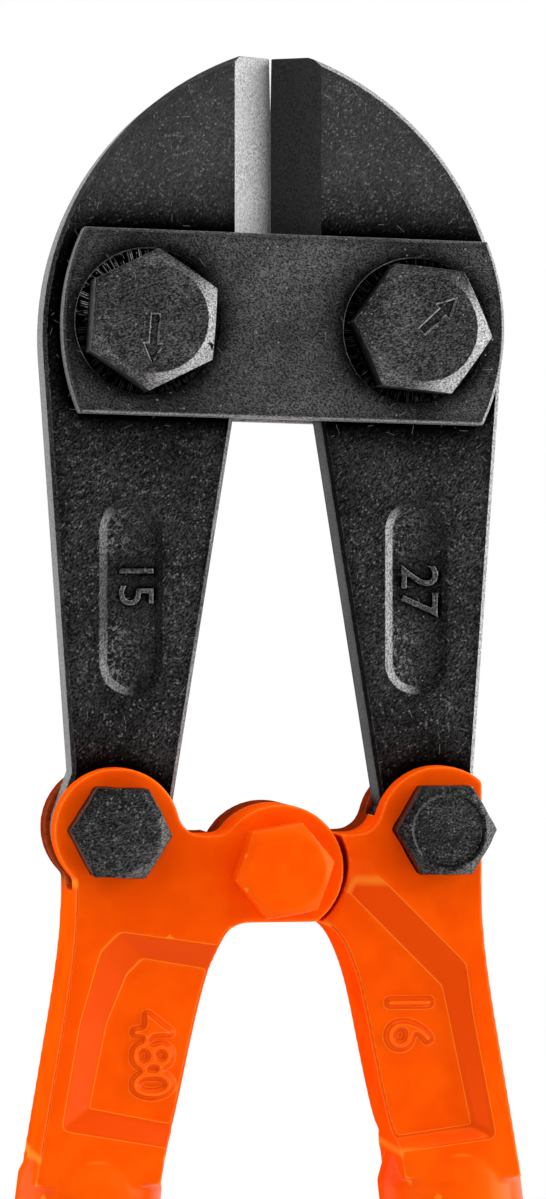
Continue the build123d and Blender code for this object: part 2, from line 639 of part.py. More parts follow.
def pieces():
    """Every node of the tool, still about the centre pivot."""
    link_right = (LINK_X, LINK_Z)
    link_left = (-LINK_X, LINK_Z)
    link_nut_front = EAR_OUTER + SPRING_WASHER_THICKNESS
    link_end = link_nut_front + LINK_NUT_HEIGHT + THREAD_STICKOUT
    pivot_nut_front = EAR_OUTER + SIDE_GAP + PIVOT_WASHER_THICKNESS
    pivot_end = pivot_nut_front + LINK_NUT_HEIGHT + THREAD_STICKOUT
    bore = LINK_RADIUS + PIN_FIT
    link_nut = hex_nut(LINK_HEX, link_nut_front, LINK_NUT_HEIGHT, bore, LINK_NUT_TURN)
    plate_bore = SEAT_RADIUS + PIN_FIT
    plate_nut = hex_nut(PLATE_HEX, PLATE_OUTER, PLATE_NUT_HEIGHT, plate_bore, PLATE_NUT_TURN)
    pivot_nut = hex_nut(LINK_HEX, pivot_nut_front, LINK_NUT_HEIGHT, bore, PIVOT_NUT_TURN)
    left_journal = (-JOURNAL_X, JOURNAL_Z)
    right_journal = (JOURNAL_X, JOURNAL_Z)
    return {
        "left_blade": mirrored(blade(LEFT_BEVEL, LEFT_WINDOW_HALF, LEFT_TAIL_INSET, False)),
        "right_blade": blade(RIGHT_BEVEL, RIGHT_WINDOW_HALF, RIGHT_TAIL_INSET, True),
        "front_side_plate": front_plate(),
        "rear_side_plate": rear_plate(),
        "left_eccentric_bolt": eccentric_bolt(LEFT_HEAD, left_journal, LEFT_HEAD_TURN, LEFT_ARROW_TURN),
        "right_eccentric_bolt": eccentric_bolt(
            RIGHT_HEAD, right_journal, RIGHT_HEAD_TURN, RIGHT_ARROW_TURN
        ),
        "left_serrated_ring": placed(serrated_ring(), LEFT_HEAD),
        "right_serrated_ring": placed(serrated_ring(), RIGHT_HEAD),
        "left_plate_nut": placed(plate_nut, LEFT_HEAD),
        "right_plate_nut": placed(plate_nut, RIGHT_HEAD),
        "left_handle_fitting": mirrored(fitting(-1, False, 0, False)),
        "right_handle_fitting": fitting(1, True, RIGHT_SLIMMING, True),
        "left_link_bolt": placed(hex_bolt(LEFT_LINK_TURN, link_end, 0), link_left),
        "right_link_bolt": placed(hex_bolt(RIGHT_LINK_TURN, link_end, LINK_HEAD_DISH), link_right),
        "left_spring_washer": placed(spring_washer(), link_left),
        "right_spring_washer": placed(spring_washer(), link_right),
        "left_link_nut": placed(link_nut, link_left),
        "right_link_nut": placed(link_nut, link_right),
        "centre_pivot_bolt": hex_bolt(PIVOT_TURN, pivot_end, 0),
        "centre_pivot_washer": washer(
            PIVOT_WASHER_RADIUS, bore, EAR_OUTER + SIDE_GAP, PIVOT_WASHER_THICKNESS
        ),
        "centre_pivot_nut": pivot_nut,
        "left_handle_tube": mirrored(tube()),
        "right_handle_tube": tube(),
        "left_grip": mirrored(grip()),
        "right_grip": grip(),
        "left_tube_rivet": mirrored(rivet()),
        "right_tube_rivet": rivet(),
    }


os.makedirs("parts", exist_ok=True)
for name, solid in pieces().items():
    export_step(TO_ROW_FRAME * solid, f"parts/{name}.step")
print("origin", round(HANG_X, 4), round(HANG_Y, 4), round(HANG_Z, 4), "tilt", round(PLATE_TILT, 3))
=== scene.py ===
# %% [markdown]
# # A pair of 300 mm class bolt cutters
#
# The tool is closed and stands upright: black forged blades under a pair of black side
# plates, four big bolts, and forged handle ends under a thick coat of orange paint.
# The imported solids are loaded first. They fix every size and every joint, and what is
# made below is the skin over them: rounded edges, forged roughness, paint and dust.

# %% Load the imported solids
import json
from math import cos, pi, radians, sin

import bmesh
import bpy
from mathutils import Matrix, Vector, noise

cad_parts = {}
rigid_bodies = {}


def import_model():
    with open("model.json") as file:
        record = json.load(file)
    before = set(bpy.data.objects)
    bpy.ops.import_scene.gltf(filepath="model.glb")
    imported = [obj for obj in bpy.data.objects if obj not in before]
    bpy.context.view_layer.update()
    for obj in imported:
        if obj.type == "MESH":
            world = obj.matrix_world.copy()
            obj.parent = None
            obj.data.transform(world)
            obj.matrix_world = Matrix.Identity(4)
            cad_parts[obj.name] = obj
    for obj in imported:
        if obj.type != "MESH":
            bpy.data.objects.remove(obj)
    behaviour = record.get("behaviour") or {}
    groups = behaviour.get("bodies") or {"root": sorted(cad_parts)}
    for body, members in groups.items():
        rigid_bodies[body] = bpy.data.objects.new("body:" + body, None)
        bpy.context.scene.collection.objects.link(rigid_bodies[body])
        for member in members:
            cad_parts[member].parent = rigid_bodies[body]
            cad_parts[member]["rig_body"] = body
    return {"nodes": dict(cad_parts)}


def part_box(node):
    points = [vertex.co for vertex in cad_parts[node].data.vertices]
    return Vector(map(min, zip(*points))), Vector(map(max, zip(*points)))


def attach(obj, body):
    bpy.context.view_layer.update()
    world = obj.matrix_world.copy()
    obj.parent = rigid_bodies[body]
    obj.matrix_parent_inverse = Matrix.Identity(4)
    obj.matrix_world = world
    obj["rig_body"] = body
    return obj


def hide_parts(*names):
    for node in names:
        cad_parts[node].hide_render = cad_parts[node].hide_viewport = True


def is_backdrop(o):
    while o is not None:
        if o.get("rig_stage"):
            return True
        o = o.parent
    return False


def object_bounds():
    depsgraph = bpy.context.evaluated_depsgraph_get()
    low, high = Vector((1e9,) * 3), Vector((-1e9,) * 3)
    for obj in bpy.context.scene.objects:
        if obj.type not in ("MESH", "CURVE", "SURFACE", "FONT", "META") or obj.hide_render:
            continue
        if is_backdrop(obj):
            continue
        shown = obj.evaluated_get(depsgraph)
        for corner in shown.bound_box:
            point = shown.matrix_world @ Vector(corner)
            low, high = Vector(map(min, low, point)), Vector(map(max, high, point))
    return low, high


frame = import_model()
cad_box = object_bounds()
MM = 0.001
nodes = frame["nodes"]

# %% [markdown]
# ## Where things are
#
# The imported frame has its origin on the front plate's lower edge, where the tool hangs on
# a peg. The tool itself is easier to think about from its centre pivot, so `at` turns
# millimetres from the pivot into metres in the frame. x goes right, z towards the jaws
# and -y towards whoever looks at the bolt heads.

# %% Places, from the centre pivot
pivot_low, pivot_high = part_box("centre_pivot_washer")
blade_low, blade_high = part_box("left_blade")
PIVOT = Vector((
    (pivot_low.x + pivot_high.x) / 2,
    (blade_low.y + blade_high.y) / 2,
    (pivot_low.z + pivot_high.z) / 2,
))


def at(x, y, z):
    """Millimetres from the centre pivot to metres in the frame."""
    return PIVOT + Vector((x, y, z)) * MM


print("pivot", [round(v / MM, 3) for v in PIVOT])

# %% [markdown]
# ## Camera
#
# The tool is seen level, from 0.68 m and a little from its left, so the left sides of
# the blades just show. A long lens keeps the hexagons and the round hubs true.

# %% Camera
VIEW_DISTANCE = 680.0
VIEW_YAW = radians(9.7)
VIEW_ASIDE = 0.42
VIEW_HEIGHT = 39.63
VIEW_TALL = 178.4  # millimetres of the tool's plane that the picture's height takes in

camera = bpy.data.objects.new("camera", bpy.data.cameras.new("camera"))
bpy.context.scene.collection.objects.link(camera)
bpy.context.scene.camera = camera
camera.location = at(
    VIEW_ASIDE - VIEW_DISTANCE * sin(VIEW_YAW), -VIEW_DISTANCE * cos(VIEW_YAW), VIEW_HEIGHT
)
camera.rotation_euler = (pi / 2, 0, -VIEW_YAW)
camera.data.sensor_fit = "VERTICAL"
camera.data.sensor_height = 24.0
camera.data.lens = 24.0 * VIEW_DISTANCE / VIEW_TALL
camera.data.clip_start = 0.01
camera.data.clip_end = 20.0
print("camera", [round(v, 4) for v in camera.location], "lens", round(camera.data.lens, 1))

# %% [markdown]
# ## Light and floor
#
# Black steel shows its shape by what it mirrors. A big soft box stands to the right and a
# little in front, so every bevel that faces right turns pale. A second one at the left,
# a little behind, draws a bright line along the left sides. The studio is white behind the
# tool and dim on the viewer's side, which keeps the flat faces dark. The background is
# white by the world's own colour where the eye looks straight at it, never by more light.

# %% Nodes in few words
def make(tree, kind, inputs=None, **settings):
    """A shader or geometry node with its settings, and its sockets set or linked."""
    node = tree.nodes.new(kind)
    for key, value in settings.items():
        setattr(node, key, value)
    for key, value in (inputs or {}).items():
        socket = node.inputs[key]
        if isinstance(value, bpy.types.NodeSocket):
            tree.links.new(value, socket)
        else:
            socket.default_value = value
    return node


def calc(tree, operation, *values):
    """A Math node's result."""
    inputs = dict(enumerate(values))
    return make(tree, "ShaderNodeMath", inputs, operation=operation).outputs[0]


def times(tree, first, *others):
    """The product of several values."""
    for other in others:
        first = calc(tree, "MULTIPLY", first, other)
    return first


def ramp(tree, value, low, high, start=0.0, end=1.0):
    """A value stretched from low..high to start..end, clamped, with soft ends."""
    inputs = {"Value": value, 1: low, 2: high, 3: start, 4: end}
    node = make(tree, "ShaderNodeMapRange", inputs, interpolation_type="SMOOTHSTEP")
    return node.outputs["Result"]


def vector(tree, operation, first, second):
    """A Vector Math node that works on two vectors."""
    return make(tree, "ShaderNodeVectorMath", {0: first, 1: second}, operation=operation).outputs


def split(tree, value):
    """A vector's X, Y and Z."""
    return make(tree, "ShaderNodeSeparateXYZ", {0: value}).outputs


def object_place(tree):
    """X, Y and Z in the object's own coordinates, in metres."""
    return split(tree, make(tree, "ShaderNodeTexCoord").outputs["Object"])


def surface_normal(tree):
    """X, Y and Z of the surface's direction."""
    return split(tree, make(tree, "ShaderNodeNewGeometry").outputs["Normal"])


# %% World
world = bpy.data.worlds.new("studio")
bpy.context.scene.world = world
world.use_nodes = True
tree = world.node_tree
tree.nodes.clear()
direction = make(tree, "ShaderNodeTexCoord").outputs["Generated"]
depth = split(tree, direction)["Y"]
behind = ramp(tree, depth, -0.1, 0.6, 0.05, 0.9)
around = ramp(tree, depth, -0.96, -0.76, 0.02, 1.08)
path = make(tree, "ShaderNodeLightPath").outputs


def white(strength):
    """White light of a strength that may follow the direction."""
    return make(tree, "ShaderNodeBackground", {"Color": (1, 1, 1, 1), "Strength": strength}).outputs[0]


fill, mirrored, plain = white(around), white(behind), white(1.0)
seen_in_gloss = calc(tree, "MAXIMUM", path["Is Glossy Ray"], path["Is Transmission Ray"])
inner = make(tree, "ShaderNodeMixShader", {0: seen_in_gloss, 1: fill, 2: mirrored}).outputs[0]
outer = make(tree, "ShaderNodeMixShader", {0: path["Is Camera Ray"], 1: inner, 2: plain}).outputs[0]
make(tree, "ShaderNodeOutputWorld", {"Surface": outer})


# %% Soft boxes
def soft_box(name, place, size, power, target=(0, 0, 40)):
    """A rectangular lamp at a place in millimetres from the pivot, aimed at the tool."""
    data = bpy.data.lights.new(name, "AREA")
    data.shape = "RECTANGLE"
    data.size, data.size_y = size
    data.energy = power
    lamp = bpy.data.objects.new(name, data)
    bpy.context.scene.collection.objects.link(lamp)
    lamp.location = at(*place)
    aim = at(*target) - lamp.location
    lamp.rotation_euler = aim.to_track_quat("-Z", "Y").to_euler()
    return lamp


soft_box("soft_box_right", (985, -170, 60), (0.7, 1.3), 12.0)
soft_box("soft_box_left", (-985, 60, 60), (0.5, 1.3), 3.0)
soft_box("soft_box_above", (0, -250, 950), (0.9, 0.4), 2.5)

# %% Floor
FLOOR_HALF = 0.95
FLOOR_GAP = 0.5 * MM  # the floor lies this far under the grips
FLOOR_LIFT = 0.3  # light of its own that only the camera sees
floor_z = cad_box[0][2] - FLOOR_GAP
mesh = bpy.data.meshes.new("floor")
corners = [(-1, -1), (1, -1), (1, 1), (-1, 1)]
mesh.from_pydata([(x * FLOOR_HALF, y * FLOOR_HALF, floor_z) for x, y in corners], [], [(0, 1, 2, 3)])
floor = bpy.data.objects.new("floor", mesh)
bpy.context.scene.collection.objects.link(floor)
finish = bpy.data.materials.new("pale_floor")
finish.use_nodes = True
tree = finish.node_tree
tree.nodes.clear()
chalk = make(tree, "ShaderNodeBsdfDiffuse", {"Color": (0.8, 0.8, 0.8, 1)})
path = make(tree, "ShaderNodeLightPath").outputs
glow = times(tree, path["Is Camera Ray"], FLOOR_LIFT)
lift = make(tree, "ShaderNodeEmission", {"Color": (1, 1, 1, 1), "Strength": glow})
both = make(tree, "ShaderNodeAddShader", {0: chalk.outputs[0], 1: lift.outputs[0]})
make(tree, "ShaderNodeOutputMaterial", {"Surface": both.outputs[0]})
mesh.materials.append(finish)
floor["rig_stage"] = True

# %% [markdown]
# ## Effects that several finishes share
#
# Blackened forged steel looks flat until it has fine grain, bright specks, dust and worn
# edges. The mask that finds worn edges also lays a band of painted shade along them.
# Each of these is a node group, built once, with its sizes as named inputs, and put
# into each material with that material's own values. They read the object's own
# coordinates in metres, so a pattern keeps its real size on every piece.

# %% Starting a node group
def effect(name, inputs, outputs):
    """A new shader group with named value inputs and outputs, its tree and its ends."""
    group = bpy.data.node_groups.new(name, "ShaderNodeTree")
    for label, default in inputs.items():
        socket = group.interface.new_socket(label, in_out="INPUT", socket_type="NodeSocketFloat")
        socket.default_value = default
    for label in outputs:
        group.interface.new_socket(label, in_out="OUTPUT", socket_type="NodeSocketFloat")
    start = make(group, "NodeGroupInput").outputs
    end = make(group, "NodeGroupOutput").inputs
    place = make(group, "ShaderNodeTexCoord").outputs["Object"]
    return group, start, end, place


def spread(tree, place, scale, detail=2.0, roughness=0.5):
    """A Noise texture's value."""
    inputs = {"Vector": place, "Scale": scale, "Detail": detail, "Roughness": roughness}
    return make(tree, "ShaderNodeTexNoise", inputs).outputs["Fac"]


def turn_about(tree, axis, place, angle):
    """A place turned about an axis."""
    inputs = {"Vector": place, "Angle": angle}
    return make(tree, "ShaderNodeVectorRotate", inputs, rotation_type=axis).outputs[0]


# %% Grain: fine short strokes that all lean one way
grain, start, end, place = effect(
    "grain", {"Lean": 0.8, "Along": 900.0, "Across": 4200.0, "Share": 0.5}, ["Mask", "Height"]
)
turned = turn_about(grain, "Y_AXIS", place, start["Lean"])
across = start["Across"]
stretch = make(grain, "ShaderNodeCombineXYZ", {0: start["Along"], 1: across, 2: across})
drawn = vector(grain, "MULTIPLY", turned, stretch.outputs[0])[0]
strokes = spread(grain, drawn, 1.0, 2.0, 0.6)
low = calc(grain, "SUBTRACT", 0.78, times(grain, start["Share"], 0.4))
grain.links.new(ramp(grain, strokes, low, calc(grain, "ADD", low, 0.14)), end["Mask"])
grain.links.new(strokes, end["Height"])

# %% Specks: single bright grains of scale and dust
specks, start, end, place = effect("specks", {"Per Metre": 900.0, "Size": 0.2, "Share": 0.4}, ["Mask"])
cells = make(specks, "ShaderNodeTexVoronoi", {"Vector": place, "Scale": start["Per Metre"]}).outputs
chosen = make(specks, "ShaderNodeSeparateColor", {0: cells["Color"]}).outputs
reach = times(specks, start["Size"], chosen["Green"])
dot = ramp(specks, cells["Distance"], times(specks, reach, 0.6), reach, 1.0, 0.0)
kept = calc(specks, "LESS_THAN", chosen["Red"], start["Share"])
specks.links.new(times(specks, dot, kept), end["Mask"])

# %% Fibres: hair-thin bent strokes of lint on the flat faces
fibres, start, end, place = effect(
    "fibres",
    {"Per Metre": 180.0, "Length": 0.0012, "Width": 0.00007, "Bend": 0.0006, "Share": 0.5},
    ["Mask"],
)
axes = split(fibres, place)
flat = make(fibres, "ShaderNodeCombineXYZ", {0: axes["X"], 1: axes["Z"]}).outputs[0]
sway = make(fibres, "ShaderNodeTexNoise", {"Vector": flat, "Scale": 700.0, "Detail": 1.0})
sway = vector(fibres, "SUBTRACT", sway.outputs["Color"], (0.5, 0.5, 0.5))[0]
sway = make(fibres, "ShaderNodeVectorMath", {0: sway, "Scale": start["Bend"]}, operation="SCALE")
bent = vector(fibres, "ADD", flat, sway.outputs[0])[0]
inputs = {"Vector": bent, "Scale": start["Per Metre"]}
cells = make(fibres, "ShaderNodeTexVoronoi", inputs, voronoi_dimensions="2D").outputs
chosen = make(fibres, "ShaderNodeSeparateColor", {0: cells["Color"]}).outputs
local = vector(fibres, "SUBTRACT", bent, cells["Position"])[0]
local = split(fibres, turn_about(fibres, "Z_AXIS", local, times(fibres, chosen["Red"], 2 * pi)))
half = times(fibres, start["Length"], 0.5, chosen["Blue"])
along = ramp(fibres, calc(fibres, "ABSOLUTE", local["X"]), times(fibres, half, 0.8), half, 1.0, 0.0)
width = start["Width"]
across = ramp(fibres, calc(fibres, "ABSOLUTE", local["Y"]), times(fibres, width, 0.3), width, 1.0, 0.0)
facing = ramp(fibres, calc(fibres, "ABSOLUTE", surface_normal(fibres)["Y"]), 0.75, 0.95)
kept = calc(fibres, "LESS_THAN", chosen["Green"], start["Share"])
fibres.links.new(times(fibres, along, across, kept, facing), end["Mask"])

# %% Edge mask: where a rounded edge has lost its black; made wider, it also marks a band of painted shade along each edge
wear_and_shade, start, end, place = effect(
    "edge wear", {"Radius": 0.0003, "Breaks": 900.0, "Share": 0.5}, ["Mask"]
)
rounded = make(wear_and_shade, "ShaderNodeBevel", {"Radius": start["Radius"]}, samples=4).outputs[0]
plain = make(wear_and_shade, "ShaderNodeNewGeometry").outputs["Normal"]
likeness = vector(wear_and_shade, "DOT_PRODUCT", rounded, plain)["Value"]
edge = ramp(wear_and_shade, likeness, 0.99, 0.86)
broken = spread(wear_and_shade, place, start["Breaks"], 3.0)
low = calc(wear_and_shade, "SUBTRACT", 0.75, times(wear_and_shade, start["Share"], 0.5))
wear_and_shade.links.new(times(wear_and_shade, edge, ramp(wear_and_shade, broken, low, calc(wear_and_shade, "ADD", low, 0.2))), end["Mask"])

# %% Forged relief: the low unevenness that a hot die leaves
relief, start, end, place = effect(
    "forged relief", {"Broad": 260.0, "Fine": 1500.0, "Fine Share": 0.4}, ["Height"]
)
broad = spread(relief, place, start["Broad"], 2.0)
fine = times(relief, spread(relief, place, start["Fine"], 2.0), start["Fine Share"])
relief.links.new(calc(relief, "ADD", broad, fine), end["Height"])
print("effects", [g.name for g in bpy.data.node_groups])

# %% [markdown]
# ## Finishes
#
# Every black piece carries the same kind of blackening, but the forged blades, the flat
# plates and the hammered bolt heads took it differently. A finish starts from one dark
# colour, gains grain and specks, loses black along its edges and collects dust. Light is
# painted into it too: painted shade in corners and along edges, painted highlights on
# slopes that face right, and a painted reflection on its sides.

# %% Starting a finish
def finish_of(name, roughness, metallic=0.0):
    """A material with a Principled shader, and its tree."""
    material = bpy.data.materials.new(name)
    material.use_nodes = True
    tree = material.node_tree
    tree.nodes.clear()
    shader = make(tree, "ShaderNodeBsdfPrincipled", {"Roughness": roughness, "Metallic": metallic})
    make(tree, "ShaderNodeOutputMaterial", {"Surface": shader.outputs[0]})
    return material, tree, shader


def use(tree, group, inputs=None):
    """One of the effects, placed in a material."""
    node = make(tree, "ShaderNodeGroup", node_tree=group)
    for label, value in (inputs or {}).items():
        node.inputs[label].default_value = value
    return node.outputs


def tone(tree, mask, dark, light):
    """A colour between two greys or two colours, by a mask."""
    node = make(tree, "ShaderNodeMix", data_type="RGBA")
    for socket, value in ((node.inputs[0], mask), (node.inputs[6], dark), (node.inputs[7], light)):
        if isinstance(value, bpy.types.NodeSocket):
            tree.links.new(value, socket)
        elif isinstance(value, float):
            socket.default_value = (value, value, value, 1)
        else:
            socket.default_value = (*value, 1)
    return node.outputs[2]


def distance_in_view(tree, place, point):
    """How far a place is from a point, seen from the front, in metres."""
    spot = make(tree, "ShaderNodeCombineXYZ", {0: place["X"], 1: PIVOT.y, 2: place["Z"]}).outputs[0]
    return vector(tree, "DISTANCE", spot, tuple(point))["Value"]


def bump(tree, shader, height, distance):
    """A height in the range 0..1 as relief of that many metres."""
    node = make(tree, "ShaderNodeBump", {"Height": height, "Distance": distance, "Strength": 1.0})
    tree.links.new(node.outputs[0], shader.inputs["Normal"])


# %% Where the arms' forged pockets are
POCKET_X = 21.4 * MM  # from the centre pivot to a pocket's middle
POCKET_Z = 40.0 * MM
POCKET_HALF_WIDTH = 4.75 * MM
FIGURES_UP = 1.5 * MM  # the figures' middle lies this far above a pocket's middle


def pocket_places(tree, place, level):
    """The pockets: distance from the left side, height from the middle, floor, right arm.

    The first two are in metres, and the last two are masks.
    """
    right = calc(tree, "SUBTRACT", place["X"], PIVOT.x)
    across = calc(tree, "WRAP", calc(tree, "ADD", right, POCKET_X), POCKET_X, -POCKET_X)
    above = calc(tree, "SUBTRACT", place["Z"], PIVOT.z + POCKET_Z)
    deep = calc(tree, "ABSOLUTE", calc(tree, "SUBTRACT", place["Y"], PIVOT.y))
    floor = times(tree, ramp(tree, deep, 0.0038, 0.0032), ramp(tree, level, 0.8, 0.95))
    wide = ramp(tree, calc(tree, "ABSOLUTE", across), 0.0050, 0.0042)
    tall = ramp(tree, calc(tree, "ABSOLUTE", above), 0.0160, 0.0145)
    from_left = calc(tree, "ADD", across, POCKET_HALF_WIDTH)
    return from_left, above, times(tree, floor, times(tree, wide, tall)), ramp(tree, right, 0.0, 0.001)


def pocket_floor_light_and_shade(tree, colour, dark, from_left, above, floor):
    """Pebbles that the die left in a pocket, shown as painted light: painted shade darkens the floor, and
    the pebbles get a painted highlight near its lit left wall.
    """
    pebbles = use(tree, relief, {"Broad": 1900.0, "Fine": 4400.0, "Fine Share": 0.8})["Height"]
    pebbles = ramp(tree, pebbles, 0.92, 1.08)
    # Round the raised figures the pebbles get less of that painted highlight
    clear = calc(tree, "ABSOLUTE", calc(tree, "SUBTRACT", above, FIGURES_UP))
    pebbles = times(tree, pebbles, ramp(tree, clear, 0.0035, 0.0065, 0.2, 1.0))
    near = ramp(tree, from_left, 0.0068, 0.001, 0.14, 1.0)
    # Painted shade: the pocket's floor is darker
    colour = tone(tree, times(tree, floor, 0.55), colour, dark * 0.5)
    # Painted highlight: pebbles are paler near the left wall, less further off
    lit = times(tree, times(tree, pebbles, near), times(tree, floor, 0.8))
    return tone(tree, lit, colour, 0.23)


# %% Black finishes
JAW_SHEEN_GREY = 0.16  # the painted sheen that the jaws above the plates are lightened towards
# the grey of a painted highlight on edges near a glint place
GLINT_GREY = 0.9
DUST_GREY = 0.36


def blackened(
    name, dark, light, lean, along, across, roughness,
    worn=0.32, dust=0.5, hammered=0.0, side_sheen=0.0, slope_light=3.0, lift=-0.45, edge_shade_width=0.0022,
    gloss=1.9, pockets=False, sunken=0.8, glint=None,
):
    """Blackened steel: grain, specks, worn edges, lint and dust, with painted shade and highlights.

    dark and light are the greys of its pits and its grain. lean, along and across shape the
    strokes. worn is the grey of its edges, and sunken, how much of that edges close beside
    something show. side_sheen is how pale its sides are, a painted reflection. slope_light is
    how pale the painted highlight on slopes that face right is, and lift turns that aim up or
    down. edge_shade_width is the width of the band of painted shade along its edges in
    metres. glint is a place, in mm from the pivot, where edges get a painted highlight.
    """
    material, tree, shader = finish_of(name, roughness)
    strokes = use(tree, grain, {"Lean": lean, "Along": along, "Across": across, "Share": 0.35})
    cloud = use(tree, relief, {"Broad": 110.0, "Fine": 900.0, "Fine Share": 0.5})["Height"]
    grains = use(tree, specks, {"Per Metre": 2300.0, "Size": 0.55, "Share": 0.3})["Mask"]
    colour = tone(tree, ramp(tree, strokes["Height"], 0.40, 0.60), dark * 0.15, dark * 2.2)
    murk = ramp(tree, cloud, 1.0, 0.5)
    colour = tone(tree, times(tree, murk, 0.6), colour, dark * 0.4)
    colour = tone(tree, times(tree, strokes["Mask"], 0.95), colour, light * 1.3)
    colour = tone(tree, times(tree, grains, 0.6), colour, light * 2.0)
    # Painted shade: a dark band follows each edge
    edge_shade = use(tree, wear_and_shade, {"Radius": edge_shade_width, "Breaks": 300.0, "Share": 1.0})["Mask"]
    colour = tone(tree, times(tree, edge_shade, 0.9), colour, dark * 0.1)
    # Painted shade: the colour darkens in corners, by ambient occlusion
    open_share = make(tree, "ShaderNodeAmbientOcclusion", {"Distance": 0.009}, samples=8).outputs["AO"]
    beside = ramp(tree, open_share, 0.48, 0.66)
    shade = ramp(tree, open_share, 0.62, 1.0)
    colour = tone(tree, shade, dark * 0.03, colour)
    # The pits between the strokes stay dull, and the gloss also dims in the painted shade of corners and
    # along edges
    dull = times(tree, shade, calc(tree, "SUBTRACT", 1.0, times(tree, edge_shade, 0.8)))
    dull = times(tree, dull, calc(tree, "SUBTRACT", 1.0, times(tree, murk, 0.55)))
    gleam = times(tree, ramp(tree, strokes["Height"], 0.38, 0.62, 0.15, 0.8), dull)
    # Painted highlight: slopes that face right, towards the big soft box, are paler, in patches
    place = object_place(tree)
    facing = surface_normal(tree)
    level = calc(tree, "ABSOLUTE", facing["Y"])
    aim = calc(tree, "ADD", times(tree, facing["X"], 0.85), times(tree, facing["Z"], lift))
    slope = times(tree, ramp(tree, level, 0.99, 0.94), ramp(tree, level, 0.5, 0.7))
    if pockets:
        # The painted highlight lies on the left arm's pocket at its ends only, on the right arm's all
        # along
        from_left, above, floor, right = pocket_places(tree, place, level)
        ends = ramp(tree, calc(tree, "ABSOLUTE", above), 0.004, 0.0115, 0.18, 0.55)
        lit_slopes = times(tree, ramp(tree, aim, 0.06, 0.48), slope)
        lit_slopes = times(tree, lit_slopes, calc(tree, "MAXIMUM", ends, right))
    else:
        lit_slopes = times(tree, ramp(tree, aim, 0.1, 0.38), slope)
    lit_patches = tone(tree, ramp(tree, strokes["Height"], 0.42, 0.58), light * slope_light / 3, light * slope_light)
    colour = tone(tree, lit_slopes, colour, lit_patches)
    if pockets:
        colour = pocket_floor_light_and_shade(tree, colour, dark, from_left, above, floor)
    if side_sheen:
        # Painted reflection: faces seen edge-on are paler, speckled by the grain
        pale = tone(tree, ramp(tree, strokes["Height"], 0.40, 0.60), side_sheen * 0.2, side_sheen * 1.8)
        colour = tone(tree, ramp(tree, level, 0.66, 0.5), colour, pale)
        # Painted sheen: above the plates the jaws are a little greyer
        jaw_sheen = ramp(tree, place["Z"], PIVOT.z + 0.090, PIVOT.z + 0.104, 0.0, 0.17)
        colour = tone(tree, times(tree, jaw_sheen, shade), colour, JAW_SHEEN_GREY)
        # Painted shade: the arms' inner sides that face left are darker, and their gloss dimmed
        aside = calc(tree, "ABSOLUTE", calc(tree, "SUBTRACT", place["X"], PIVOT.x))
        inwards = ramp(tree, facing["X"], -0.4, -0.8)
        shaded_inner_sides = times(tree, ramp(tree, aside, 0.024, 0.020), inwards)
        colour = tone(tree, shaded_inner_sides, colour, dark)
        gleam = times(tree, gleam, ramp(tree, shaded_inner_sides, 0.0, 1.0, 1.0, 0.15))
    tree.links.new(gleam, shader.inputs["Specular IOR Level"])
    edges = use(tree, wear_and_shade, {"Radius": 0.00022, "Breaks": 900.0, "Share": 0.7})["Mask"]
    edges = times(tree, edges, ramp(tree, beside, 0.0, 1.0, sunken, 0.8))
    if glint:
        # Painted highlight: edges near the glint place are pale
        far = distance_in_view(tree, place, PIVOT + Vector((glint[0], 0, glint[1])) * MM)
        worn = tone(tree, ramp(tree, far, 0.0085, 0.006), worn, GLINT_GREY)
    colour = tone(tree, edges, colour, worn)
    lint = {"Per Metre": 360.0, "Length": 0.0017, "Width": 0.000055, "Share": dust}
    lint = times(tree, use(tree, fibres, lint)["Mask"], 0.45)
    bits = use(tree, specks, {"Per Metre": 560.0, "Size": 0.11, "Share": dust})["Mask"]
    colour = tone(tree, calc(tree, "MAXIMUM", lint, times(tree, bits, 0.8)), colour, DUST_GREY)
    tree.links.new(colour, shader.inputs["Base Color"])
    bump(tree, shader, calc(tree, "ADD", strokes["Height"], times(tree, cloud, hammered)), 0.00015)
    shader.inputs["IOR"].default_value = gloss
    return material


forged_black = blackened(
    "forged_black", 0.005, 0.09, 0.85, 2300.0, 4600.0, 0.37,
    dust=0.8, side_sheen=0.12, slope_light=5.25, lift=0.3, edge_shade_width=0.0038, gloss=1.64, pockets=True,
)
# A paler copy of the blades' blackening, with very pale edges: painted highlight on the raised figures
lit_figure_black = blackened(
    "lit_figure_black", 0.05, 0.19, 0.85, 2300.0, 4600.0, 0.35, worn=0.9, dust=0.2, lift=0.2, edge_shade_width=0.0004
)
plate_black = blackened(
    "plate_black", 0.042, 0.14, -0.5, 2800.0, 5600.0, 0.42,
    worn=0.8, dust=0.8, side_sheen=0.16, edge_shade_width=0.003, sunken=0.0,
)
bolt_black = blackened(
    "bolt_black", 0.010, 0.16, 0.3, 2800.0, 4400.0, 0.36, worn=0.8, hammered=1.5, gloss=2.1
)
# Nearly black, as painted shade under the eccentric bolts' heads; only the upper left edges get a painted
# glint
ring_black_in_shade = blackened(
    "ring_black_in_shade", 0.003, 0.01, 0.3, 2600.0, 3400.0, 0.3, worn=0.06, gloss=1.3, glint=(-26.6, 88.2)
)
rough_black = blackened(
    "rough_black", 0.007, 0.09, 0.3, 2500.0, 4400.0, 0.40, hammered=5.0, slope_light=1.2, gloss=1.7
)

